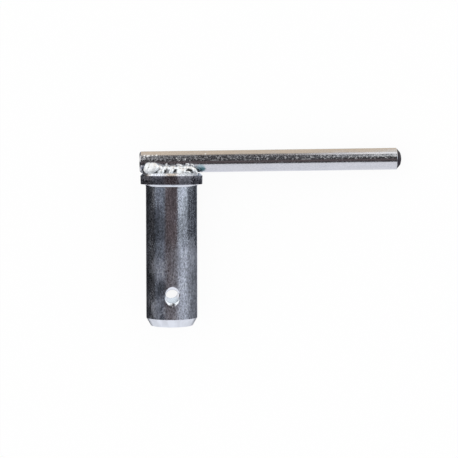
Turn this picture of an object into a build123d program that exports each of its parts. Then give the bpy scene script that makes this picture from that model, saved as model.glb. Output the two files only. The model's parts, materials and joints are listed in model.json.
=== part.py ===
from build123d import *
from math import asin, atan, atan2, cos, hypot, isclose, radians, sin, sqrt, tan
import os

# A top link pin: a turned pin with a collar, and a round bar welded across the collar as its handle.
# It is modelled as it lies at rest, on the rim of its collar, the edge of its nose and the free end
# of its handle bar. The origin is on the pin's axis, at the collar's underside.

# The turned pin, along its own axis
shank_radius = 9.5
shank_length = 49.5         # from the collar's underside to the start of the nose
nose_length = 2.95
nose_angle = 30.0           # degrees from the pin's axis to the nose's flank
collar_overhang = 2.0       # from the shank's surface out to the collar's rim
collar_thickness = 4.1
collar_edge = 0.9           # 45 degree chamfer round the collar's top
shoulder_fillet = 1.0       # in the corner between the shank and the collar's underside

# The cross hole for a linch pin, with a countersink at each mouth
hole_radius = 2.5
hole_below_shoulder = 40.9
hole_turn = 4.0             # degrees round the pin, away from square to the handle bar
countersink_radius = 3.6
countersink_angle = 120.0

# The handle bar
bar_radius = 4.0
bar_reach = 85.2            # from the pin's axis to the tip of the free end
heel_overhang = 0.15        # from the collar's rim out to the other end
bar_lean = 0.8              # degrees that the free end is raised, off square to the pin
heel_chamfer = 0.35
tip_chamfer = 1.1           # 45 degree chamfer round the free end
tip_dome = 1.0              # height of the dome inside that chamfer

# The weld beads, each a row of overlapping puddles in the corner between the bar and the collar
puddle_count = 7
puddle_radius = 3.3
crater_radius = 3.9         # the larger puddle at the end where the bead was started
crater_from_heel = 6.0      # from the bar's heel end to the centre of the nearest puddle
rim_inset = 3.5             # the furthest puddle's centre, in from the collar's rim
puddle_out = 2.4            # the puddles' centres, out from the bar's middle plane
puddle_depth = 0.4          # the puddles' centres, below the collar's top
root_out = 2.0              # the beads' root, out from the bar's middle plane

collar_radius = shank_radius + collar_overhang
bar_heel = collar_radius + heel_overhang

# The bar rises from the heel side of the collar's flat top, where it is seated.
lean = radians(bar_lean)
collar_flat_radius = collar_radius - collar_edge
bar_rise = collar_thickness + bar_radius / cos(lean) + collar_flat_radius * tan(lean)
chamfer_start = bar_reach - tip_dome - tip_chamfer

# At rest the nose dips, because the collar is wider than the shank, and the pin is rolled so far
# that the edge of the bar's end chamfer is as low as the collar's rim.
nose_dip = atan((collar_radius - shank_radius) / shank_length)
drop = collar_radius * cos(nose_dip) + bar_rise * sin(nose_dip)
bar_droop = asin(drop / hypot(chamfer_start, bar_radius)) - atan2(bar_radius, chamfer_start)
roll = asin((sin(bar_droop) + sin(lean) * sin(nose_dip)) / (cos(lean) * cos(nose_dip)))

# Frames of the lying pin: shoulder has x along the bar and z up the pin to the handle, and
# mid_section has x along the bar, y up the pin and z out of the side that lies uppermost.
up_the_pin = Vector(0, cos(nose_dip), sin(nose_dip))
along_the_bar = Vector(cos(roll), sin(nose_dip) * sin(roll), -cos(nose_dip) * sin(roll))
shoulder = Plane(origin=(0, 0, 0), x_dir=along_the_bar, z_dir=up_the_pin)
mid_section = Plane(origin=(0, 0, 0), x_dir=along_the_bar, z_dir=along_the_bar.cross(up_the_pin))
bar_section = Plane(mid_section.location * Location((0, bar_rise, 0), (0, 0, bar_lean)))

# Frames on the crest of the shank at the two mouths of the cross hole, z pointing outwards
hole_middle = mid_section.location * Location((0, -hole_below_shoulder, 0), (0, hole_turn, 0))
upper_mouth = Plane(hole_middle).offset(shank_radius)
lower_mouth = Plane(hole_middle * Location((0, 0, 0), (0, 180, 0))).offset(shank_radius)

pin_line = Axis((0, 0, 0), up_the_pin)
bar_line = Axis(bar_section.origin, bar_section.x_dir)

with BuildPart() as pin:
    with BuildSketch(mid_section):
        with BuildLine():
            tip_radius = shank_radius - nose_length * tan(radians(nose_angle))
            Polyline(
                (0, collar_thickness),
                (collar_flat_radius, collar_thickness),
                (collar_radius, collar_thickness - collar_edge),
                (collar_radius, 0),
                (shank_radius, 0),
                (shank_radius, -shank_length),
                (tip_radius, -shank_length - nose_length),
                (0, -shank_length - nose_length),
                close=True,
            )
        make_face()
    revolve(axis=pin_line)
    rings = pin.edges().filter_by(GeomType.CIRCLE)
    shank_rings = rings.filter_by(lambda ring: isclose(ring.radius, shank_radius))
    fillet(shank_rings.sort_by(pin_line)[-1], shoulder_fillet)
    with Locations(upper_mouth, lower_mouth):
        CounterSinkHole(hole_radius, countersink_radius, shank_radius, countersink_angle)
pin.part.label = "pin"

with BuildPart() as handle_bar:
    with BuildSketch(bar_section):
        with BuildLine():
            dome_radius = bar_radius - tip_chamfer
            outline = Polyline(
                (bar_reach, 0),
                (-bar_heel, 0),
                (-bar_heel, bar_radius - heel_chamfer),
                (heel_chamfer - bar_heel, bar_radius),
                (chamfer_start, bar_radius),
                (bar_reach - tip_dome, dome_radius),
            )
            RadiusArc(outline @ 1, outline @ 0, (dome_radius**2 + tip_dome**2) / (2 * tip_dome))
        make_face()
    revolve(axis=bar_line)
handle_bar.part.label = "handle_bar"

# The puddles' places along the bar, and their radii from the heel end onwards
seam_start = crater_from_heel - bar_heel
seam_end = sqrt((collar_radius - rim_inset) ** 2 - puddle_out**2)
pitch = (seam_end - seam_start) / (puddle_count - 1)
puddle_radii = [crater_radius] + [puddle_radius] * (puddle_count - 1)


def weld_bead(side, radii):
    # side is 1 for the bead that lies uppermost and -1 for the one beneath
    seam = shoulder.location * Location((seam_start, -side * puddle_out, collar_thickness - puddle_depth))
    with BuildPart() as bead:
        for number, radius in enumerate(radii):
            with Locations(seam * Location((number * pitch, 0, 0))):
                Sphere(radius)
        with BuildSketch(shoulder.offset(collar_thickness - collar_edge)):
            Circle(collar_radius)
        extrude(amount=collar_edge + crater_radius, mode=Mode.INTERSECT)
        split(bisect_by=mid_section.offset(side * root_out), keep=Keep.TOP if side > 0 else Keep.BOTTOM)
        add(pin.part, mode=Mode.SUBTRACT)
        add(handle_bar.part, mode=Mode.SUBTRACT)
    return bead.part


weld_bead_upper = weld_bead(1, puddle_radii)
weld_bead_upper.label = "weld_bead_upper"
weld_bead_lower = weld_bead(-1, puddle_radii[::-1])
weld_bead_lower.label = "weld_bead_lower"

os.makedirs("parts", exist_ok=True)
export_step(pin.part, "parts/pin.step")
export_step(handle_bar.part, "parts/handle_bar.step")
export_step(weld_bead_upper, "parts/weld_bead_upper.step")
export_step(weld_bead_lower, "parts/weld_bead_lower.step")
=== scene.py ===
import json
from math import cos, pi, radians, sin, tan

import bmesh
import bpy
import numpy as np
from mathutils import Matrix, Vector


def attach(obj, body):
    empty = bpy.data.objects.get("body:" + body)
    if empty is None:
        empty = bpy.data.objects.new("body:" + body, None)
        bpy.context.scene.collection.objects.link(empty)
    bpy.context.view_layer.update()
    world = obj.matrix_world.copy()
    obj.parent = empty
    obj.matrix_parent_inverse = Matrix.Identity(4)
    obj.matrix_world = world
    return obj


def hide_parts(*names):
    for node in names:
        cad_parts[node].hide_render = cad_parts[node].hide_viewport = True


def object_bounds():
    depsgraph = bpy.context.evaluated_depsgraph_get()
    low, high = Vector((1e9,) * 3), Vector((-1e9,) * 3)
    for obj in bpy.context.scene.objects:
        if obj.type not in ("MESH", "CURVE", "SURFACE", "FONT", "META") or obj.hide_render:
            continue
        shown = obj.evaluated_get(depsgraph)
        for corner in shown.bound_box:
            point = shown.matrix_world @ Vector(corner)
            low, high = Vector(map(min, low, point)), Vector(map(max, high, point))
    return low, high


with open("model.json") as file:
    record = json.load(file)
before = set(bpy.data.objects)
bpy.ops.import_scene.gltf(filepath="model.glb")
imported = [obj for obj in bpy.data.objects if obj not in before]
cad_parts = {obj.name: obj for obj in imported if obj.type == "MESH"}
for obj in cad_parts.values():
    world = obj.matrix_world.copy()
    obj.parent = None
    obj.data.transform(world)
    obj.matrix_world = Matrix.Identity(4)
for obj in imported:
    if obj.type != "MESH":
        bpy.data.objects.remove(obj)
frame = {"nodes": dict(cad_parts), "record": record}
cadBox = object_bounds()
mm = 0.001
sharpAngle = 24     # degrees between two faces, past which their edge shades as an edge

# where the pin and its handle lie
mounts = {m["name"]: m for m in frame["record"]["mounts"]}
upPin = -Vector(mounts["shank"]["axis"]).normalized()
shoulder = Vector(mounts["shoulder"]["pos_m"])
holeMiddle = Vector(mounts["linch_pin_hole"]["pos_m"])
holeLine = Vector(mounts["linch_pin_hole"]["axis"]).normalized()


def nodePoints(node):
    # a turned node's corners lie in even rings once the doubles are out, so their middle is on its axis
    points = np.array([v.co for v in frame["nodes"][node].data.vertices], float)
    return np.unique(points.round(7), axis=0)


def spanAlong(node, origin, axis):
    # lowest and highest station along the axis, and the largest radius about it
    offsets = nodePoints(node) - np.array(origin)
    stations = offsets @ np.array(axis)
    radii = np.linalg.norm(offsets - np.outer(stations, axis), axis=1)
    return stations.min(), stations.max(), radii.max()


barPoints = nodePoints("handle_bar")
middlePoint = barPoints.mean(axis=0)
alongBar = Vector(np.linalg.svd(barPoints - middlePoint, full_matrices=False)[2][0])
alongBar = alongBar if alongBar.x > 0 else -alongBar
acrossPin = (alongBar - upPin * alongBar.dot(upPin)).normalized()   # along the bar, square to the pin
outOfPin = acrossPin.cross(upPin)                                   # out of the side that lies uppermost
barMiddle = Vector(middlePoint)
barOrigin = barMiddle - alongBar * (barMiddle - shoulder).dot(acrossPin) / alongBar.dot(acrossPin)
print("frame read: pin", tuple(round(x, 4) for x in upPin), "bar", tuple(round(x, 4) for x in alongBar))


def inPin(across, out, up):
    # a point given in millimetres along the bar, out of the uppermost side and up the pin
    return shoulder + (acrossPin * across + outOfPin * out + upPin * up) * mm


def roundCorners(corners, steps=5):
    # corners are (station, radius, rounding); each rounding becomes an arc that meets both sides
    outline = []
    for i, (station, radius, rounding) in enumerate(corners):
        here = Vector((station, radius))
        if rounding == 0 or i in (0, len(corners) - 1):
            outline.append(here)
            continue
        back = (Vector(corners[i - 1][:2]) - here).normalized()
        on = (Vector(corners[i + 1][:2]) - here).normalized()
        halfAngle = back.angle(on) / 2
        middle = here + (back + on).normalized() * rounding / sin(halfAngle)
        first = here + back * rounding / tan(halfAngle) - middle
        sweep = first.angle_signed(here + on * rounding / tan(halfAngle) - middle)
        for step in range(steps + 1):
            turn = -sweep * step / steps
            outline.append(middle + Matrix.Rotation(turn, 2) @ first)
    return outline


def spinOutline(name, outline, origin, axis, start, steps):
    # the outline, as (station, radius) in millimetres, spun about the axis; its ends are on the axis
    side = (start - axis * start.dot(axis)).normalized()
    other = axis.cross(side)
    onAxis = 1e-6
    mesh = bmesh.new()
    rings = []
    for station, radius in outline:
        middle = origin + axis * station * mm
        if radius < onAxis:
            rings.append([mesh.verts.new(middle)])
            continue
        ring = []
        for step in range(steps):
            turn = 2 * pi * step / steps
            ring.append(mesh.verts.new(middle + (side * cos(turn) + other * sin(turn)) * radius * mm))
        rings.append(ring)
    for low, high in zip(rings, rings[1:]):
        for step in range(steps):
            after = (step + 1) % steps
            corners = [low[step % len(low)], low[after % len(low)]]
            corners += [high[after % len(high)], high[step % len(high)]]
            mesh.faces.new(list(dict.fromkeys(corners)))
    bmesh.ops.recalc_face_normals(mesh, faces=mesh.faces)
    data = bpy.data.meshes.new(name)
    mesh.to_mesh(data)
    mesh.free()
    piece = bpy.data.objects.new(name, data)
    bpy.context.scene.collection.objects.link(piece)
    return piece


def applyModifiers(piece):
    bpy.context.view_layer.update()
    made = bpy.data.meshes.new_from_object(piece.evaluated_get(bpy.context.evaluated_depsgraph_get()))
    piece.modifiers.clear()
    piece.data = made


def smoothFaces(piece):
    piece.data.shade_smooth()
    piece.data.set_sharp_from_angle(angle=radians(sharpAngle))


class Nodes:
    # one material's node tree, with short calls to add to it
    def __init__(self, name):
        self.material = bpy.data.materials.new(name)
        self.material.use_nodes = True
        self.tree = self.material.node_tree
        self.shader = self.tree.nodes["Principled BSDF"]

    def add(self, kind, inputs=None, **settings):
        made = self.tree.nodes.new(kind)
        for key, value in settings.items():
            setattr(made, key, value)
        for key, value in (inputs or {}).items():
            self.plug(made.inputs[key], value)
        return made

    def plug(self, socket, value):
        if isinstance(value, bpy.types.NodeSocket):
            self.tree.links.new(value, socket)
        else:
            socket.default_value = value

    def noise(self, vector, scale, detail=3.0, roughness=0.5, distortion=0.0):
        made = self.add("ShaderNodeTexNoise", {"Vector": vector, "Scale": scale, "Detail": detail})
        self.plug(made.inputs["Roughness"], roughness)
        self.plug(made.inputs["Distortion"], distortion)
        return made.outputs["Fac"]

    def spread(self, value, low, high, toLow=0.0, toHigh=1.0):
        # a smooth step from one value to another
        inputs = {"Value": value, "From Min": low, "From Max": high, "To Min": toLow, "To Max": toHigh}
        return self.add("ShaderNodeMapRange", inputs, interpolation_type="SMOOTHSTEP").outputs["Result"]

    def maths(self, operation, first, second=0.0):
        made = self.add("ShaderNodeMath", operation=operation)
        self.plug(made.inputs[0], first)
        self.plug(made.inputs[1], second)
        return made.outputs[0]

    def blend(self, share, first, second):
        made = self.add("ShaderNodeMix", data_type="RGBA")
        for socket, value in zip((made.inputs[0], made.inputs[6], made.inputs[7]), (share, first, second)):
            self.plug(socket, value)
        return made.outputs[2]

    def stretched(self, vector, scale):
        return self.add("ShaderNodeMapping", {"Vector": vector, "Scale": scale}).outputs["Vector"]


def turnedPlace(nodes, origin, axis, start):
    # Object coordinates centred on a turned piece, with z along its axis, in millimetres
    side = (start - axis * start.dot(axis)).normalized()
    turn = Matrix((side, axis.cross(side), axis)).to_euler()
    place = nodes.add("ShaderNodeTexCoord").outputs["Object"]
    moved = nodes.add("ShaderNodeMapping", {"Vector": place, "Location": -origin}).outputs["Vector"]
    turned = nodes.add("ShaderNodeMapping", {"Vector": moved, "Rotation": turn, "Scale": (1 / mm,) * 3})
    return turned.outputs["Vector"]


# each layer of the plating's pattern: its detail, roughness and distortion, and the span it mostly keeps to
platingLayers = {
    "cloud": (6.0, 0.62, 0.6),
    "grain": (4.0, 0.62, 0.4), "grainSpan": (0.32, 0.68), "glossSpan": (0.3, 0.7),
    "line": (3.0, 0.6, 0.0), "lineSpan": (0.3, 0.7),
    "gritDetail": 2.0,
}


def platedSteel(name, look, origin, axis, start, zones):
    # bright zinc over steel: cloudy patches of haze, and a fine grain in its tint, gloss and surface
    nodes = Nodes(name)
    place = turnedPlace(nodes, origin, axis, start)

    def layer(kind):
        stretched = nodes.stretched(place, look[kind + "Stretch"])
        return nodes.noise(stretched, look[kind + "Scale"], *platingLayers[kind])

    clouds = layer("cloud")
    grain = layer("grain")
    lines = layer("line")
    grit = nodes.noise(place, look["gritScale"], platingLayers["gritDetail"])
    haze = nodes.spread(clouds, *look["hazeFrom"])
    tint = nodes.blend(haze, look["clearTint"], look["hazeTint"])
    shade = nodes.spread(grain, *platingLayers["grainSpan"], *look["grainShade"])
    lineShade = nodes.spread(lines, *platingLayers["lineSpan"], *look["lineShade"])
    shade = nodes.maths("MULTIPLY", shade, lineShade)
    height = nodes.maths("MULTIPLY", grain, look["grainRelief"])
    nodes.shader.inputs["Metallic"].default_value = look["metallic"]
    tint, haze, shade, height = zones(nodes, place, clouds, grain, tint, haze, shade, height)
    tint = nodes.add("ShaderNodeVectorMath", {0: tint}, operation="SCALE")
    nodes.plug(tint.inputs["Scale"], shade)
    nodes.plug(nodes.shader.inputs["Base Color"], tint.outputs[0])
    gloss = nodes.add("ShaderNodeMapRange", {"Value": haze, "To Min": look["clearRoughness"]}, clamp=False)
    gloss.inputs["To Max"].default_value = look["hazeRoughness"]
    grainGloss = nodes.spread(grain, *platingLayers["glossSpan"], 0.0, look["grainRoughness"])
    nodes.plug(nodes.shader.inputs["Roughness"], nodes.maths("ADD", gloss.outputs[0], grainGloss))
    height = nodes.maths("ADD", height, nodes.maths("MULTIPLY", lines, look["lineRelief"]))
    height = nodes.maths("ADD", height, nodes.maths("MULTIPLY", grit, look["gritRelief"]))
    bump = nodes.add("ShaderNodeBump", {"Height": height, "Strength": 1.0, "Distance": mm})
    nodes.plug(nodes.shader.inputs["Normal"], bump.outputs["Normal"])
    return nodes.material


# the turned pin: collar, shank, nose and cross hole. Lengths are in millimetres and angles in degrees.
# A pair such as (10.6, 11.0) is a soft step: where a finish starts, and where it has its full strength.
# Two more numbers after it are the values at those two places.
turnedPinValues = {
    "collarEdge": 0.9,          # the chamfer round the collar's top
    "collarDraft": 0.06,        # the wall leans in this much towards its underside
    "shoulderFillet": 1.0,
    "noseLength": 2.95,
    "noseAngle": 30.0,
    "edgeRound": 0.15,          # every turned edge is broken this much
    "noseRound": 0.3,
    "countersink": 3.6,
    "sinkAngle": 60.0,          # half of the countersink's angle
    "sinkRound": 0.2,
    "steps": 288,
    "holeSteps": 96,
    "cloudStretch": (1.0, 1.0, 0.35), "cloudScale": 0.3, "hazeFrom": (0.45, 0.7),
    "grainStretch": (1.0, 1.0, 0.6), "grainScale": 2.3, "grainShade": (0.5, 1.3),
    "lineStretch": (1.0, 1.0, 0.1), "lineScale": 1.2, "lineShade": (0.85, 1.15),
    "gritScale": 5.0,
    "clearTint": (0.70, 0.72, 0.76, 1), "hazeTint": (0.74, 0.75, 0.82, 1), "metallic": 1.0,
    "clearRoughness": 0.12, "hazeRoughness": 0.31, "grainRoughness": 0.08,
    "grainRelief": 0.022, "lineRelief": 0.016, "gritRelief": 0.006,
    "hazeShare": 0.25,                              # what the plain clouds count for
    "hazeBelow": (-18.0, -26.0), "hazeRagged": 26.0,        # the lower shank is clouded
    "hazeAcross": (-4.0, 1.0, 0.25, 1.0), "acrossRagged": 9.0,   # less so on the heel side
    "cloudShade": (-0.16, 0.1, 0.72, 1.06),
    "patchRagged": -4.0, "patchEdge": (1.3, 0.5),
    # more cloud in these: (along the bar, out, up, half width, half height, how much)
    "patches": [
        (-5.3, 7.8, -30.5, 3.0, 5.5, 0.65),
        (-5.6, 7.6, -4.5, 2.0, 3.5, 0.25),
        (7.6, 5.7, -25.5, 2.4, 5.5, 0.5),
        (-5.5, 7.6, -46.5, 3.2, 4.0, 0.65),
        (8.2, 4.8, -46.0, 2.4, 5.0, 0.7),
    ],
    "shadePatches": [                                     # darker patches in these, partly stains and partly painted shade
        (-5.0, 8.0, -15.0, 3.4, 6.0, 0.5),
        (-8.2, 4.8, -33.5, 2.4, 5.5, 0.6),
        (-8.6, 4.0, -12.0, 2.0, 10.0, 0.35),
        (4.5, 8.4, -16.0, 2.6, 6.0, 0.3),
        (-3.4, 8.8, -38.0, 1.6, 3.0, 0.5),
        (-6.4, 7.0, -35.0, 1.0, 2.6, 0.45),
        (-8.0, 5.1, -4.0, 2.2, 4.5, 0.6),
        (8.4, 4.4, -4.0, 1.7, 5.0, 0.4),
        # painted shade in the bottom of the countersink
        (-0.1, 9.2, -44.3, 0.9, 0.7, 0.6),
        # painted shade at the heel-side end of the collar's chamfer
        (-10.4, 5.0, 3.8, 2.3, 1.0, 0.8),
    ],
    "wallTint": (0.32, 0.305, 0.33, 1),             # the collar's wall is duller and darker
    "wallOutside": (10.6, 11.0), "wallBelow": (3.35, 3.1), "wallHaze": (0.38, 0.62, 0.1, 0.8),
    "rimHaze": (3.1, 3.35, 0.0, 0.4),
    "cutTint": (0.79, 0.815, 0.855, 1),             # the nose, the collar's top and the hole are brighter
    "cutRelief": 0.3,
    "topAbove": (3.9, 4.05),
    "noseBelow": (0.05, -0.1),                      # from the nose's upper edge
    "boreInside": (9.49, 9.44), "boreAbove": 0.1, "boreBelow": (-1.0, -1.1),
    "cornerAbove": (-1.1, -0.8), "cornerBelow": (0.02, 0.0),    # the fillet under the collar
    "streakStretch": (1.0, 1.0, 0.1), "streakScale": 0.4, "streakDetail": 2.0,
    "streakShade": (0.35, 0.65, 0.9, 1.03),
    "paintedShadeInside": (8.85, 8.7), "paintedShadeBelow": (-41.6, -42.8), "paintedShadeFactor": 0.52,     # painted shade on the bore's lower wall
}


def nearPatch(nodes, place, patchy, patch):
    # the patch's strength inside it, fading out over a ragged edge
    across, out, up, wide, high, strength = patch
    away = nodes.add("ShaderNodeVectorMath", {0: place, 1: (out, across, up)}, operation="SUBTRACT")
    away = nodes.add("ShaderNodeVectorMath", {0: away.outputs[0], 1: (wide, wide, high)}, operation="DIVIDE")
    away = nodes.add("ShaderNodeVectorMath", {0: away.outputs[0]}, operation="LENGTH").outputs["Value"]
    away = nodes.maths("ADD", away, nodes.maths("MULTIPLY", patchy, turnedPinValues["patchRagged"]))
    return nodes.spread(away, *turnedPinValues["patchEdge"], 0.0, strength)


def pinZones(nodes, place, clouds, grain, tint, haze, shade, height):
    look = turnedPinValues
    parts = nodes.add("ShaderNodeSeparateXYZ", {0: place}).outputs
    out, across, up = parts["X"], parts["Y"], parts["Z"]
    patchy = nodes.maths("SUBTRACT", clouds, 0.5)

    def product(*shares):
        made = shares[0]
        for share in shares[1:]:
            made = nodes.maths("MULTIPLY", made, share)
        return made

    # haze on the lower shank and in its patches
    ragged = nodes.maths("ADD", up, nodes.maths("MULTIPLY", patchy, look["hazeRagged"]))
    low = nodes.spread(ragged, *look["hazeBelow"])
    ragged = nodes.maths("ADD", across, nodes.maths("MULTIPLY", patchy, look["acrossRagged"]))
    side = nodes.spread(ragged, *look["hazeAcross"])
    haze = nodes.maths("ADD", nodes.maths("MULTIPLY", haze, look["hazeShare"]), product(side, low))
    for patch in look["patches"]:
        haze = nodes.maths("ADD", haze, nearPatch(nodes, place, patchy, patch))
    haze = nodes.maths("MAXIMUM", nodes.maths("MINIMUM", haze, 1.0), 0.0)
    shade = nodes.maths("MULTIPLY", shade, nodes.spread(patchy, *look["cloudShade"]))
    tint = nodes.blend(haze, tint, look["hazeTint"])

    # the collar's wall, and the freshly cut faces: bore, nose, collar's top and the corner under it
    flat = nodes.add("ShaderNodeVectorMath", {0: place, 1: (1, 1, 0)}, operation="MULTIPLY")
    reach = nodes.add("ShaderNodeVectorMath", {0: flat.outputs[0]}, operation="LENGTH").outputs["Value"]
    wall = product(nodes.spread(reach, *look["wallOutside"]), nodes.spread(up, *look["wallBelow"]))
    tint = nodes.blend(wall, tint, look["wallTint"])
    aboveNose = nodes.spread(up, noseStart, noseStart + look["boreAbove"])
    bore = product(nodes.spread(reach, *look["boreInside"]), aboveNose, nodes.spread(up, *look["boreBelow"]))
    nose = nodes.spread(up, *(noseStart + x for x in look["noseBelow"]))
    corner = product(nodes.spread(up, *look["cornerAbove"]), nodes.spread(up, *look["cornerBelow"]))
    faced = nodes.maths("MAXIMUM", nose, nodes.spread(up, *look["topAbove"]))
    cut = nodes.maths("MAXIMUM", nodes.maths("MAXIMUM", bore, faced), corner)
    tint = nodes.blend(cut, tint, look["cutTint"])
    haze = nodes.maths("MAXIMUM", product(haze, nodes.maths("SUBTRACT", 1.0, cut)), nose)

    # shade: streaks on the cut faces, painted shade on the bore's lower wall, and the darker patches, partly
    # stains and partly painted shade
    stretched = nodes.stretched(place, look["streakStretch"])
    streaks = nodes.noise(stretched, look["streakScale"], look["streakDetail"])
    streaks = nodes.spread(streaks, *look["streakShade"])
    shade = nodes.add("ShaderNodeMapRange", {"Value": cut, "To Min": shade, "To Max": streaks}).outputs[0]
    # painted shade: the bore's lower wall is darkened
    boreShadow = product(nodes.spread(out, *look["paintedShadeInside"]), nodes.spread(up, *look["paintedShadeBelow"]))
    shade = product(shade, nodes.spread(product(bore, boreShadow), 0.0, 1.0, 1.0, look["paintedShadeFactor"]))
    # each darker patch dims the tint: partly stains, partly painted shade
    for shadePatch in look["shadePatches"]:
        shade = product(shade, nodes.maths("SUBTRACT", 1.0, nearPatch(nodes, place, patchy, shadePatch)))
    haze = nodes.maths("MAXIMUM", haze, product(wall, nodes.spread(grain, *look["wallHaze"])))
    haze = nodes.maths("MAXIMUM", haze, nodes.spread(up, *look["rimHaze"]))
    height = product(height, nodes.spread(cut, 0.0, 1.0, 1.0, look["cutRelief"]))
    return tint, haze, shade, height


noseEnd, collarTop, collarRim = (x / mm for x in spanAlong("pin", shoulder, upPin))
noseStart = noseEnd + turnedPinValues["noseLength"]


def turnedPin():
    shank = mounts["shank"]["dims"]["r_mm"]
    edge = turnedPinValues["edgeRound"]
    noseRadius = shank - turnedPinValues["noseLength"] * tan(radians(turnedPinValues["noseAngle"]))
    corners = [
        (collarTop, 0, 0),
        (collarTop, collarRim - turnedPinValues["collarEdge"], edge),
        (collarTop - turnedPinValues["collarEdge"], collarRim, edge),
        (0, collarRim - turnedPinValues["collarDraft"], edge),
        (0, shank, turnedPinValues["shoulderFillet"]),
        (noseStart, shank, turnedPinValues["noseRound"]),
        (noseEnd, noseRadius, edge),
        (noseEnd, 0, 0),
    ]
    outline = roundCorners(corners)
    piece = spinOutline("turned_pin", outline, shoulder, upPin, outOfPin, turnedPinValues["steps"])
    holeRadius = mounts["linch_pin_hole"]["dims"]["r_mm"]
    sinkDepth = (turnedPinValues["countersink"] - holeRadius) / tan(radians(turnedPinValues["sinkAngle"]))
    half = [
        (0, holeRadius, 0),
        (shank - sinkDepth, holeRadius, turnedPinValues["sinkRound"]),
        (shank, turnedPinValues["countersink"], 0),
        (collarRim, turnedPinValues["countersink"], 0),
    ]
    mouth = [tuple(p) for p in roundCorners(half)][1:]
    outline = [(-collarRim, 0)] + [(-s, r) for s, r in reversed(mouth)] + mouth + [(collarRim, 0)]
    cutter = spinOutline("hole_cutter", outline, holeMiddle, holeLine, upPin, turnedPinValues["holeSteps"])
    cut = piece.modifiers.new("cross_hole", "BOOLEAN")
    cut.object = cutter
    cut.solver = "EXACT"
    applyModifiers(piece)
    bpy.data.objects.remove(cutter)
    smoothFaces(piece)
    roundShank(piece, shank)
    return piece


def roundShank(piece, shank):
    # the faces round the hole are long, so the shank's wall is told to shade as the true cylinder
    mesh = piece.data
    normals = [Vector(n.vector) for n in mesh.corner_normals]
    wallRadius = (shank - 0.02) * mm
    wallTop = -turnedPinValues["shoulderFillet"] * mm
    wallLean = 0.001
    for face in mesh.polygons:
        offset = face.center - shoulder
        radial = offset - upPin * offset.dot(upPin)
        onWall = radial.length > wallRadius and offset.dot(upPin) < wallTop
        if onWall and abs(face.normal.dot(upPin)) < wallLean:
            for corner in face.loop_indices:
                spot = mesh.vertices[mesh.loops[corner].vertex_index].co - shoulder
                normals[corner] = (spot - upPin * spot.dot(upPin)).normalized()
    mesh.normals_split_custom_set(normals)


pin = turnedPin()
pin.data.materials.clear()
pin.data.materials.append(platedSteel("pin_plating", turnedPinValues, shoulder, upPin, outOfPin, pinZones))
print("pin turned:", len(pin.data.polygons), "faces")

# the handle bar, drawn round and cut off square at its heel
handleBarValues = {
    "heelChamfer": 0.5,
    "tipChamfer": 1.4,
    "tipChamferDepth": 1.6,
    "tipDome": 0.5,
    "tipWear": 0.2,             # the cut end stops this much short of the solid's
    "edgeRound": 0.15,
    "steps": 160,
    "domeSteps": 10,
    "cloudStretch": (1.0, 1.0, 0.3), "cloudScale": 0.3, "hazeFrom": (0.4, 0.75),
    "grainStretch": (1.0, 1.0, 0.8), "grainScale": 2.2, "grainShade": (0.9, 1.06),
    "lineStretch": (1.0, 1.0, 0.06), "lineScale": 1.2, "lineShade": (0.97, 1.02),
    "gritScale": 5.0,
    "clearTint": (0.66, 0.66, 0.68, 1), "hazeTint": (0.62, 0.63, 0.67, 1), "metallic": 1.0,
    "clearRoughness": 0.12, "hazeRoughness": 0.2, "grainRoughness": 0.06,
    "grainRelief": 0.018, "lineRelief": 0.004, "gritRelief": 0.004,
    "tipTint": (0.035, 0.03, 0.04, 1),              # the cut end is dull and dark
    "tipSoft": 0.04, "tipGloss": (0.5, 0.15), "tipHaze": 4.0,
    "bareChamfer": 0.15,                            # the plain finish runs this far on to its chamfer
    # dull specks on the upper front, more of them towards the tip
    "speckStretch": (1.0, 1.0, 0.8), "speckScale": 1.5, "speckFrom": (0.53, 0.575), "speckDetail": 3.0,
    "speckDown": (0.1, -0.6), "speckUp": (-2.6, -1.8), "speckOut": (1.0, 2.0),
    "speckAlong": (5.0, 75.0), "speckShare": (0.30, 0.50),
    # smoke by the weld
    "seamAlong": (10.5, 8.0), "seamBelow": (-0.6, 0.6), "seamHaze": (0.4, 0.6, 0.0, 1.8),
    # painted glints on scuffs: a near-white tint, made dull
    "glintScuffTint": (0.95, 0.95, 0.93, 1), "glintScuffEdge": (0.45, 0.1), "glintScuffDull": 0.95,
    "glintScuffs": [                                     # scuffs, near-white and dull, that carry painted glints: (along the bar, out, up), reach
        ((-9.8, 3.1, 10.5), 0.45),
        ((-8.6, 3.2, 10.35), 0.55),
        ((-8.1, 3.1, 10.55), 0.45),
        ((-6.9, 3.1, 10.6), 0.36),
        ((-5.4, 3.1, 10.65), 0.45),
        ((-9.9, 3.55, 9.8), 0.32),
        ((2.1, 3.75, 9.6), 0.29),
        ((2.55, 3.85, 9.2), 0.33),
        ((3.0, 3.9, 8.8), 0.28),
        ((5.2, 3.85, 9.2), 0.34),
        ((12.6, 2.7, 11.0), 0.5),
    ],
    # where the heat left a tint, and painted shade by the weld: (along the bar, out, up), reach, tint
    "burnAndShadeEdge": (0.9, -0.1),
    "burnsAndShade": [
        ((10.9, 3.3, 5.7), 1.7, (0.36, 0.47, 0.50, 1)),
        # painted shadow where the weld ends under the bar's free end
        ((11.5, 3.2, 5.2), 1.2, (0.08, 0.17, 0.19, 1)),
        # these two: painted shade beside the large puddle at the heel
        ((-10.2, 3.2, 6.0), 0.9, (0.10, 0.11, 0.14, 1)),
        ((-10.0, 3.6, 7.4), 0.7, (0.16, 0.17, 0.20, 1)),
    ],
}


def farFrom(nodes, here, grain, spot):
    # millimetres from the spot, made a little ragged
    ragged = 0.8
    away = nodes.add("ShaderNodeVectorMath", {0: here, 1: inPin(*spot)}, operation="DISTANCE")
    away = nodes.maths("DIVIDE", away.outputs["Value"], mm)
    return nodes.maths("ADD", away, nodes.maths("MULTIPLY", grain, ragged))


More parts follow.
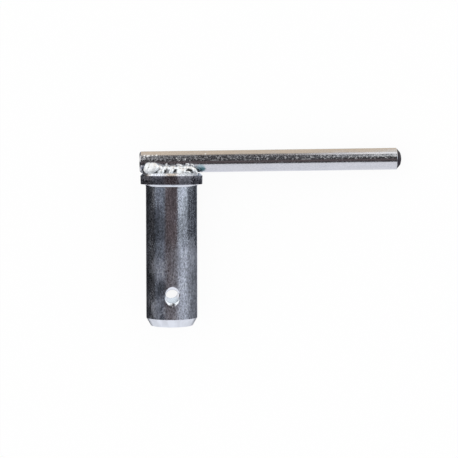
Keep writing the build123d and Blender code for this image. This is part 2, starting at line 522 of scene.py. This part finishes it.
def barZones(nodes, place, clouds, grain, tint, haze, shade, height):
    look = handleBarValues
    parts = nodes.add("ShaderNodeSeparateXYZ", {0: place}).outputs
    out, down, along = parts["X"], parts["Y"], parts["Z"]
    here = nodes.add("ShaderNodeTexCoord").outputs["Object"]

    # the cut end
    blackFrom = tipFace - look["tipChamfer"] + look["bareChamfer"]
    cut = nodes.spread(along, blackFrom - look["tipSoft"], blackFrom + look["tipSoft"])
    tint = nodes.blend(cut, tint, look["tipTint"])
    nodes.plug(nodes.shader.inputs["Specular IOR Level"], nodes.spread(cut, 0.0, 1.0, *look["tipGloss"]))
    haze = nodes.maths("ADD", haze, nodes.maths("MULTIPLY", cut, look["tipHaze"]))

    # specks are dull, not mirrors; the scuffs are near-white dull spots, wear with painted glints
    stretched = nodes.stretched(place, look["speckStretch"])
    specks = nodes.noise(stretched, look["speckScale"], look["speckDetail"])
    specks = nodes.spread(specks, *look["speckFrom"])
    for side, step in ((down, "speckDown"), (down, "speckUp"), (out, "speckOut")):
        specks = nodes.maths("MULTIPLY", specks, nodes.spread(side, *look[step]))
    speckShare = nodes.spread(along, *look["speckAlong"], *look["speckShare"])
    dull = nodes.maths("MULTIPLY", specks, speckShare)
    # painted glints: near-white dull spots on the scuffs
    glintScuffed = 0.0
    softest, hardest = look["glintScuffEdge"]
    for spot, reach in look["glintScuffs"]:
        near = nodes.spread(farFrom(nodes, here, grain, spot), reach + softest, reach + hardest)
        glintScuffed = nodes.maths("MAXIMUM", near, glintScuffed)
    tint = nodes.blend(glintScuffed, tint, look["glintScuffTint"])
    dull = nodes.maths("MAXIMUM", dull, nodes.maths("MULTIPLY", glintScuffed, look["glintScuffDull"]))
    mirror = nodes.maths("SUBTRACT", 1.0, nodes.maths("MAXIMUM", cut, dull))
    nodes.plug(nodes.shader.inputs["Metallic"], mirror)

    # smoke, heat tints and painted shade by the weld
    seam = nodes.spread(nodes.maths("ABSOLUTE", along), *look["seamAlong"])
    seam = nodes.maths("MULTIPLY", seam, nodes.spread(down, *look["seamBelow"]))
    haze = nodes.maths("ADD", haze, nodes.maths("MULTIPLY", seam, nodes.spread(grain, *look["seamHaze"])))
    softest, hardest = look["burnAndShadeEdge"]
    for spot, reach, burnShadeTint in look["burnsAndShade"]:
        near = nodes.spread(farFrom(nodes, here, grain, spot), reach + softest, reach + hardest)
        tint = nodes.blend(near, tint, burnShadeTint)
    return tint, haze, shade, height


barHeel, barTip, barRadius = (x / mm for x in spanAlong("handle_bar", barOrigin, alongBar))
barTip -= handleBarValues["tipWear"]
tipFace = barTip - handleBarValues["tipDome"]


def drawnBar():
    edge = handleBarValues["edgeRound"]
    corners = [
        (barHeel, 0, 0),
        (barHeel, barRadius - handleBarValues["heelChamfer"], edge),
        (barHeel + handleBarValues["heelChamfer"], barRadius, edge),
        (tipFace - handleBarValues["tipChamfer"], barRadius, edge),
        (tipFace, barRadius - handleBarValues["tipChamferDepth"], 0),
    ]
    outline = roundCorners(corners)
    dome = handleBarValues["tipDome"]
    domeSteps = handleBarValues["domeSteps"]
    domeRim = barRadius - handleBarValues["tipChamferDepth"]
    domeRadius = (domeRim ** 2 + dome ** 2) / (2 * dome)
    for step in range(1, domeSteps + 1):
        radius = domeRim * (1 - step / domeSteps)
        outline.append(Vector((barTip - domeRadius + (domeRadius ** 2 - radius ** 2) ** 0.5, radius)))
    piece = spinOutline("drawn_bar", outline, barOrigin, alongBar, outOfPin, handleBarValues["steps"])
    smoothFaces(piece)
    return piece


bar = drawnBar()
barFinish = platedSteel("bar_plating", handleBarValues, barOrigin, alongBar, outOfPin, barZones)
bar.data.materials.append(barFinish)
print("bar drawn:", len(bar.data.polygons), "faces")

# the weld beads, each a seam of flattened puddles that run together
weldBeadValues = {
    # (along the bar, out from the pin's axis, up from the collar's underside, half length, half height,
    # half thickness, lean of its face from upright, slant on its face, turn of the face towards the bar's
    # free end)
    "puddles": [
        (-0.3, 3.9, 4.7, 8.4, 1.6, 1.25, 4, 0, 0),          # the seam's root
        (-4.4, 4.35, 5.75, 1.9, 1.45, 0.85, 46, 0, -15),    # its crown, laid in steps
        (-2.0, 4.35, 5.75, 1.7, 1.45, 0.85, 46, 0, -15),
        (0.4, 4.35, 5.75, 1.7, 1.45, 0.85, 46, 0, -15),
        (2.8, 4.35, 5.75, 1.7, 1.45, 0.85, 46, 0, -15),
        (5.2, 4.35, 5.75, 1.7, 1.45, 0.85, 46, 0, -14),
        (7.2, 4.4, 5.7, 1.3, 1.3, 0.8, 46, 0, 10),
        (-7.3, 4.95, 6.0, 2.9, 2.5, 1.1, 40, 0, -16),       # the large one where the bead was started
        (-8.45, 4.65, 6.35, 1.55, 2.15, 1.0, 40, 0, -22),
        (-5.0, 4.75, 5.95, 2.2, 1.5, 0.95, 43, -10, -10),
        (-3.7, 5.4, 4.7, 1.35, 1.7, 0.85, 40, -26, -14),    # the tongues that run down on to the collar
        (0.15, 5.4, 4.7, 0.8, 1.7, 0.8, 40, -30, -14),
        (3.7, 5.4, 4.7, 2.0, 1.7, 0.85, 40, -10, -14),
        (8.7, 4.9, 4.8, 0.9, 2.0, 1.1, 42, 32, 20),         # the last one, curled over the end
        (6.5, 6.3, 4.5, 0.95, 0.5, 0.4, 42, 0, 16),
        (-6.6, 3.95, 7.55, 1.7, 0.5, 0.45, 34, -30, -20),   # a ridge up the bar from the large one
        (6.1, 3.85, 7.3, 0.9, 0.55, 0.5, 42, 8, 20),        # splashes on the bar above the seam
        (7.9, 3.8, 7.0, 0.9, 0.5, 0.5, 42, -30, 20),
        (3.2, 3.85, 7.0, 1.3, 0.45, 0.5, 42, 0, 20),
        (-1.7, 3.95, 7.3, 0.45, 0.45, 0.4, 42, 0, -20),
    ],
    "puddleDetail": 5,
    "voxel": 0.08,
    "smoothing": 9,
    "cloudStretch": (1.0, 1.0, 1.0), "cloudScale": 0.5, "hazeFrom": (0.4, 0.7),
    "grainStretch": (1.0, 1.0, 1.0), "grainScale": 1.6, "grainShade": (0.84, 1.06),
    "lineStretch": (1.0, 1.0, 1.0), "lineScale": 4.0, "lineShade": (0.97, 1.02),
    "gritScale": 8.0,
    "clearTint": (0.98, 0.99, 1.0, 1), "hazeTint": (0.93, 0.96, 0.98, 1), "metallic": 0.86,
    "clearRoughness": 0.36, "hazeRoughness": 0.46, "grainRoughness": 0.04,
    "grainRelief": 0.03, "lineRelief": 0.004, "gritRelief": 0.002,
    "frost": (-7.6, 5.6, 6.1), "frostEdge": (2.4, 3.4), "frostMetallic": 0.5,   # the large puddle is duller
    # painted shade: a dark tint for the grooves
    "grooveShadeTint": (0.09, 0.09, 0.085, 1), "grooveShadeEdge": 0.4,
    "grooveShadeSpots": [                                       # painted shade in the grooves between puddles and in one pit: (along the bar, out, up), reach
        ((-2.1, 5.2, 4.9), 0.8),
        ((-1.4, 5.2, 5.25), 0.65),
        ((1.0, 5.2, 4.7), 0.7),
        ((1.6, 5.2, 5.2), 0.7),
        ((5.8, 5.2, 4.9), 0.75),
        ((6.5, 5.2, 5.3), 0.85),
        ((7.2, 5.2, 5.1), 0.85),
        ((-6.6, 5.6, 4.6), 0.6),
        ((-5.8, 5.6, 4.8), 0.6),
        ((-5.1, 5.6, 5.3), 0.6),
        ((-8.1, 5.8, 6.3), 0.38),
    ],
}


def weldZones(nodes, place, clouds, grain, tint, haze, shade, height):
    look = weldBeadValues
    here = nodes.add("ShaderNodeTexCoord").outputs["Object"]
    away = farFrom(nodes, here, grain, look["frost"])
    mirror = nodes.spread(away, *look["frostEdge"], look["frostMetallic"], look["metallic"])
    nodes.plug(nodes.shader.inputs["Metallic"], mirror)
    # painted shade in the grooves between puddles
    for spot, reach in look["grooveShadeSpots"]:
        near = nodes.spread(farFrom(nodes, here, grain, spot), reach + look["grooveShadeEdge"], reach)
        tint = nodes.blend(near, tint, look["grooveShadeTint"])
    return tint, haze, shade, height


def puddleTree(material):
    # a puddle on each of the seam's points, with the size and turn that the point carries
    tree = bpy.data.node_groups.new("weld_puddles", "GeometryNodeTree")
    tree.interface.new_socket("Geometry", in_out="INPUT", socket_type="NodeSocketGeometry")
    detail = tree.interface.new_socket("Detail", in_out="INPUT", socket_type="NodeSocketInt")
    tree.interface.new_socket("Geometry", in_out="OUTPUT", socket_type="NodeSocketGeometry")

    def add(kind, links=None, **settings):
        made = tree.nodes.new(kind)
        for key, value in settings.items():
            setattr(made, key, value)
        for key, value in (links or {}).items():
            if isinstance(value, bpy.types.NodeSocket):
                tree.links.new(value, made.inputs[key])
            else:
                made.inputs[key].default_value = value
        return made

    given = add("NodeGroupInput").outputs
    turn = add("GeometryNodeInputNamedAttribute", {"Name": "turn"}, data_type="FLOAT_VECTOR")
    size = add("GeometryNodeInputNamedAttribute", {"Name": "size"}, data_type="FLOAT_VECTOR")
    ball = add("GeometryNodeMeshIcoSphere", {"Radius": 1.0, "Subdivisions": given["Detail"]})
    asTurn = add("FunctionNodeEulerToRotation", {"Euler": turn.outputs["Attribute"]})
    puddles = add("GeometryNodeInstanceOnPoints", {
        "Points": given["Geometry"],
        "Instance": ball.outputs["Mesh"],
        "Rotation": asTurn.outputs["Rotation"],
        "Scale": size.outputs["Attribute"],
    })
    real = add("GeometryNodeRealizeInstances", {"Geometry": puddles.outputs["Instances"]})
    dressed = add("GeometryNodeSetMaterial", {"Geometry": real.outputs["Geometry"], "Material": material})
    out = add("NodeGroupOutput")
    tree.links.new(dressed.outputs["Geometry"], out.inputs[0])
    return tree, detail


def weldBead(name, puddles, side, tree, detail):
    data = bpy.data.meshes.new(name)
    data.from_pydata([inPin(p[0], side * p[1], p[2]) for p in puddles], [], [])
    size = data.attributes.new("size", "FLOAT_VECTOR", "POINT")
    turn = data.attributes.new("turn", "FLOAT_VECTOR", "POINT")
    for i, puddle in enumerate(puddles):
        lean, slant, swing = (radians(x) for x in puddle[6:])
        outward = (outOfPin * side * cos(lean) + upPin * sin(lean)).normalized()
        upSlope = outward.cross(acrossPin)
        axes = Matrix((acrossPin, upSlope, acrossPin.cross(upSlope))).transposed()
        axes = axes @ Matrix.Rotation(swing * side, 3, "Y")
        axes = axes @ Matrix.Rotation(slant, 3, "Z")
        turn.data[i].vector = axes.to_euler()
        size.data[i].vector = [x * mm for x in puddle[3:6]]
    piece = bpy.data.objects.new(name, data)
    bpy.context.scene.collection.objects.link(piece)
    laid = piece.modifiers.new("puddles", "NODES")
    laid.node_group = tree
    laid[detail.identifier] = weldBeadValues["puddleDetail"]
    runTogether = piece.modifiers.new("run_together", "REMESH")
    runTogether.mode = "VOXEL"
    runTogether.voxel_size = weldBeadValues["voxel"] * mm
    eased = piece.modifiers.new("eased", "SMOOTH")
    eased.iterations = weldBeadValues["smoothing"]
    applyModifiers(piece)
    piece.data.shade_smooth()
    return piece


weldPlating = platedSteel("weld_plating", weldBeadValues, shoulder, upPin, outOfPin, weldZones)
seamTree, seamDetail = puddleTree(weldPlating)
upperBead = weldBead("weld_upper", weldBeadValues["puddles"], 1, seamTree, seamDetail)
# the lower bead was started at the other end
lowerPuddles = [(-p[0], *p[1:7], -p[7], -p[8]) for p in weldBeadValues["puddles"]]
lowerBead = weldBead("weld_lower", lowerPuddles, -1, seamTree, seamDetail)
for bead in (upperBead, lowerBead):
    bead.data.materials.clear()
    bead.data.materials.append(weldPlating)
    print("weld laid:", len(bead.data.polygons), "faces")

for piece, node, finish in (
    (pin, "pin", "pin_plating"),
    (bar, "handle_bar", "bar_plating"),
    (upperBead, "weld_bead_upper", "weld_plating"),
    (lowerBead, "weld_bead_lower", "weld_plating"),
):
    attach(piece, "root")
    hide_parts(node)

# the floor and what stands round it
stageValues = {
    "floorHalf": 3.0,
    "floorColour": (0.95, 0.95, 0.95, 1), "floorRoughness": 0.9,
    "floorGlow": 0.92,          # share of the floor that shows as plain white; the rest takes shadow
    # what the metal mirrors: soft boxes, reflectors and flags, each between two angles with a soft edge, in
    # degrees. across turns from straight out of the pin towards the bar's free end, up turns from there to
    # the collar, swing turns from the collar to the free end, and rise is the height above the pin's cross
    # section. A later panel stands in front of an earlier one.
    "panels": [
        ("brown wall", (0.13, 0.10, 0.105, 1), {"across": (-40, 40, 8), "rise": (-14, 1.0, 1.5)}),
        ("floor", (0.92, 0.93, 0.99, 1), {"up": (-182, -32, 1.5)}),
        ("far haze", (0.24, 0.22, 0.21, 1), {"up": (70, 184, 7)}),
        ("warm reflector", (0.80, 0.67, 0.52, 1), {"up": (78, 160, 7)}),
        ("floor beyond", (0.95, 1.05, 1.15, 1), {"up": (164, 190, 4)}),
        ("strip light's spill", (0.085, 0.088, 0.098, 1), {"up": (6, 56, 6), "swing": (3.0, 20, 1.5)}),
        ("strip light", (1.25, 1.2, 1.2, 1), {"up": (55, 77, 4), "swing": (5.2, 20, 1.2)}),
        ("right key", (1.25, 1.28, 1.3, 1), {"up": (58, 124, 5), "swing": (11, 80, 2)}),
        ("right key's foot", (1.25, 1.28, 1.3, 1), {"up": (30, 62, 4), "swing": (18, 80, 3)}),
        ("left key", (1.25, 1.28, 1.3, 1), {"up": (58, 124, 5), "swing": (-80, -11, 2)}),
        ("left key's foot", (1.25, 1.28, 1.3, 1), {"up": (30, 62, 4), "swing": (-80, -18, 3)}),
        ("right box", (0.92, 1.0, 1.1, 1), {"across": (31, 110, 2), "rise": (-2.5, 16, 0.4)}),
        ("right box's foot", (0.30, 0.325, 0.37, 1), {"across": (31, 110, 2), "rise": (-25, -2.5, 0.4)}),
        ("left box", (0.34, 0.38, 0.455, 1), {"across": (-110, -27, 2), "rise": (-2.5, 16, 0.4)}),
        ("left box's foot", (0.06, 0.065, 0.08, 1), {"across": (-110, -27, 2), "rise": (-25, -2.5, 0.4)}),
        ("right flag", (0.055, 0.06, 0.075, 1), {"across": (77, 166, 1.5), "rise": (-25, 1.0, 0.6)}),
        ("left flag", (0.03, 0.03, 0.035, 1), {"across": (-166, -75, 1.5), "rise": (-25, 1.0, 0.6)}),
        ("heel light", (1.0, 0.98, 0.95, 1), {"across": (-112, -82, 4), "rise": (3, 40, 3)}),
        ("left corner", (0.035, 0.04, 0.055, 1), {"across": (-166, -141, 2), "rise": (4, 46, 3)}),
        ("left curtain", (0.035, 0.04, 0.055, 1), {"across": (-142, -116, 3), "rise": (16, 36, 3)}),
    ],
    "dimRoom": (0.046, 0.042, 0.045, 1),
}


def stageFloor():
    z = cadBox[0].z
    half = stageValues["floorHalf"]
    corners = [(-half, -half, z), (half, -half, z), (half, half, z), (-half, half, z)]
    data = bpy.data.meshes.new("floor")
    data.from_pydata(corners, [], [(0, 1, 2, 3)])
    floor = bpy.data.objects.new("floor", data)
    bpy.context.scene.collection.objects.link(floor)
    nodes = Nodes("floor_card")
    nodes.shader.inputs["Base Color"].default_value = stageValues["floorColour"]
    nodes.shader.inputs["Roughness"].default_value = stageValues["floorRoughness"]
    glow = nodes.add("ShaderNodeEmission", {"Color": (1, 1, 1, 1), "Strength": 1.0})
    light = nodes.add("ShaderNodeLightPath").outputs
    seen = nodes.maths("MAXIMUM", light["Is Camera Ray"], light["Is Transmission Ray"])
    share = nodes.maths("MULTIPLY", seen, stageValues["floorGlow"])
    mix = nodes.add("ShaderNodeMixShader", {0: share, 1: nodes.shader.outputs[0], 2: glow.outputs[0]})
    nodes.plug(nodes.tree.nodes["Material Output"].inputs["Surface"], mix.outputs[0])
    data.materials.append(nodes.material)
    floor.visible_glossy = False        # the metal sees the floor as the pale lower part of the studio


class Sky(Nodes):
    # the world's node tree, with the same short calls
    def __init__(self, name):
        world = bpy.data.worlds.new(name)
        world.use_nodes = True
        bpy.context.scene.world = world
        self.tree = world.node_tree
        self.shader = self.tree.nodes["Background"]

    def angle(self, first, second):
        return self.maths("MULTIPLY", self.maths("ARCTAN2", first, second), 180 / pi)

    def between(self, angle, low, high, soft):
        rise = self.spread(angle, low - soft, low + soft)
        return self.maths("MULTIPLY", rise, self.spread(angle, high - soft, high + soft, 1.0, 0.0))


def studioSky():
    sky = Sky("studio")
    way = sky.add("ShaderNodeTexCoord").outputs["Generated"]
    sides = []
    for side in (acrossPin, upPin, outOfPin):
        share = sky.add("ShaderNodeVectorMath", {0: way, 1: side}, operation="DOT_PRODUCT")
        sides.append(share.outputs["Value"])
    across, up, out = sides
    angles = {
        "across": sky.angle(across, out),
        "up": sky.angle(up, out),
        "swing": sky.angle(across, up),
        "rise": sky.maths("MULTIPLY", sky.maths("ARCSINE", up), 180 / pi),
    }
    colour = stageValues["dimRoom"]
    for _, panelColour, limits in stageValues["panels"]:
        share = 1.0
        for name, (low, high, soft) in limits.items():
            share = sky.maths("MULTIPLY", sky.between(angles[name], low, high, soft), share)
        colour = sky.blend(share, colour, panelColour)
    light = sky.add("ShaderNodeLightPath").outputs
    colour = sky.blend(light["Is Glossy Ray"], (1, 1, 1, 1), colour)
    sky.plug(sky.shader.inputs["Color"], colour)
    sky.shader.inputs["Strength"].default_value = 1.0


cameraValues = {
    "across": 21.3,             # from the pin's axis, along the bar
    "out": 503.0,               # out of the side that lies uppermost
    "up": 14.1,                 # above the collar's underside
    "pitch": 3.5,               # the view dips this much towards the nose
    "lens": 106.7,
    "sensor": 36.0,
    "clip": (0.01, 20.0),       # metres
}


def viewCamera():
    data = bpy.data.cameras.new("camera")
    data.lens = cameraValues["lens"]
    data.sensor_width = cameraValues["sensor"]
    data.clip_start, data.clip_end = cameraValues["clip"]
    camera = bpy.data.objects.new("camera", data)
    bpy.context.scene.collection.objects.link(camera)
    pitch = radians(cameraValues["pitch"])
    back = outOfPin * cos(pitch) + upPin * sin(pitch)
    up = upPin * cos(pitch) - outOfPin * sin(pitch)
    turn = Matrix((acrossPin, up, back)).transposed().to_4x4()
    spot = inPin(cameraValues["across"], cameraValues["out"], cameraValues["up"])
    camera.matrix_world = Matrix.Translation(spot) @ turn
    bpy.context.scene.camera = camera


stageFloor()
studioSky()
viewCamera()
bpy.context.scene.view_settings.view_transform = "Standard"
print("stage set")
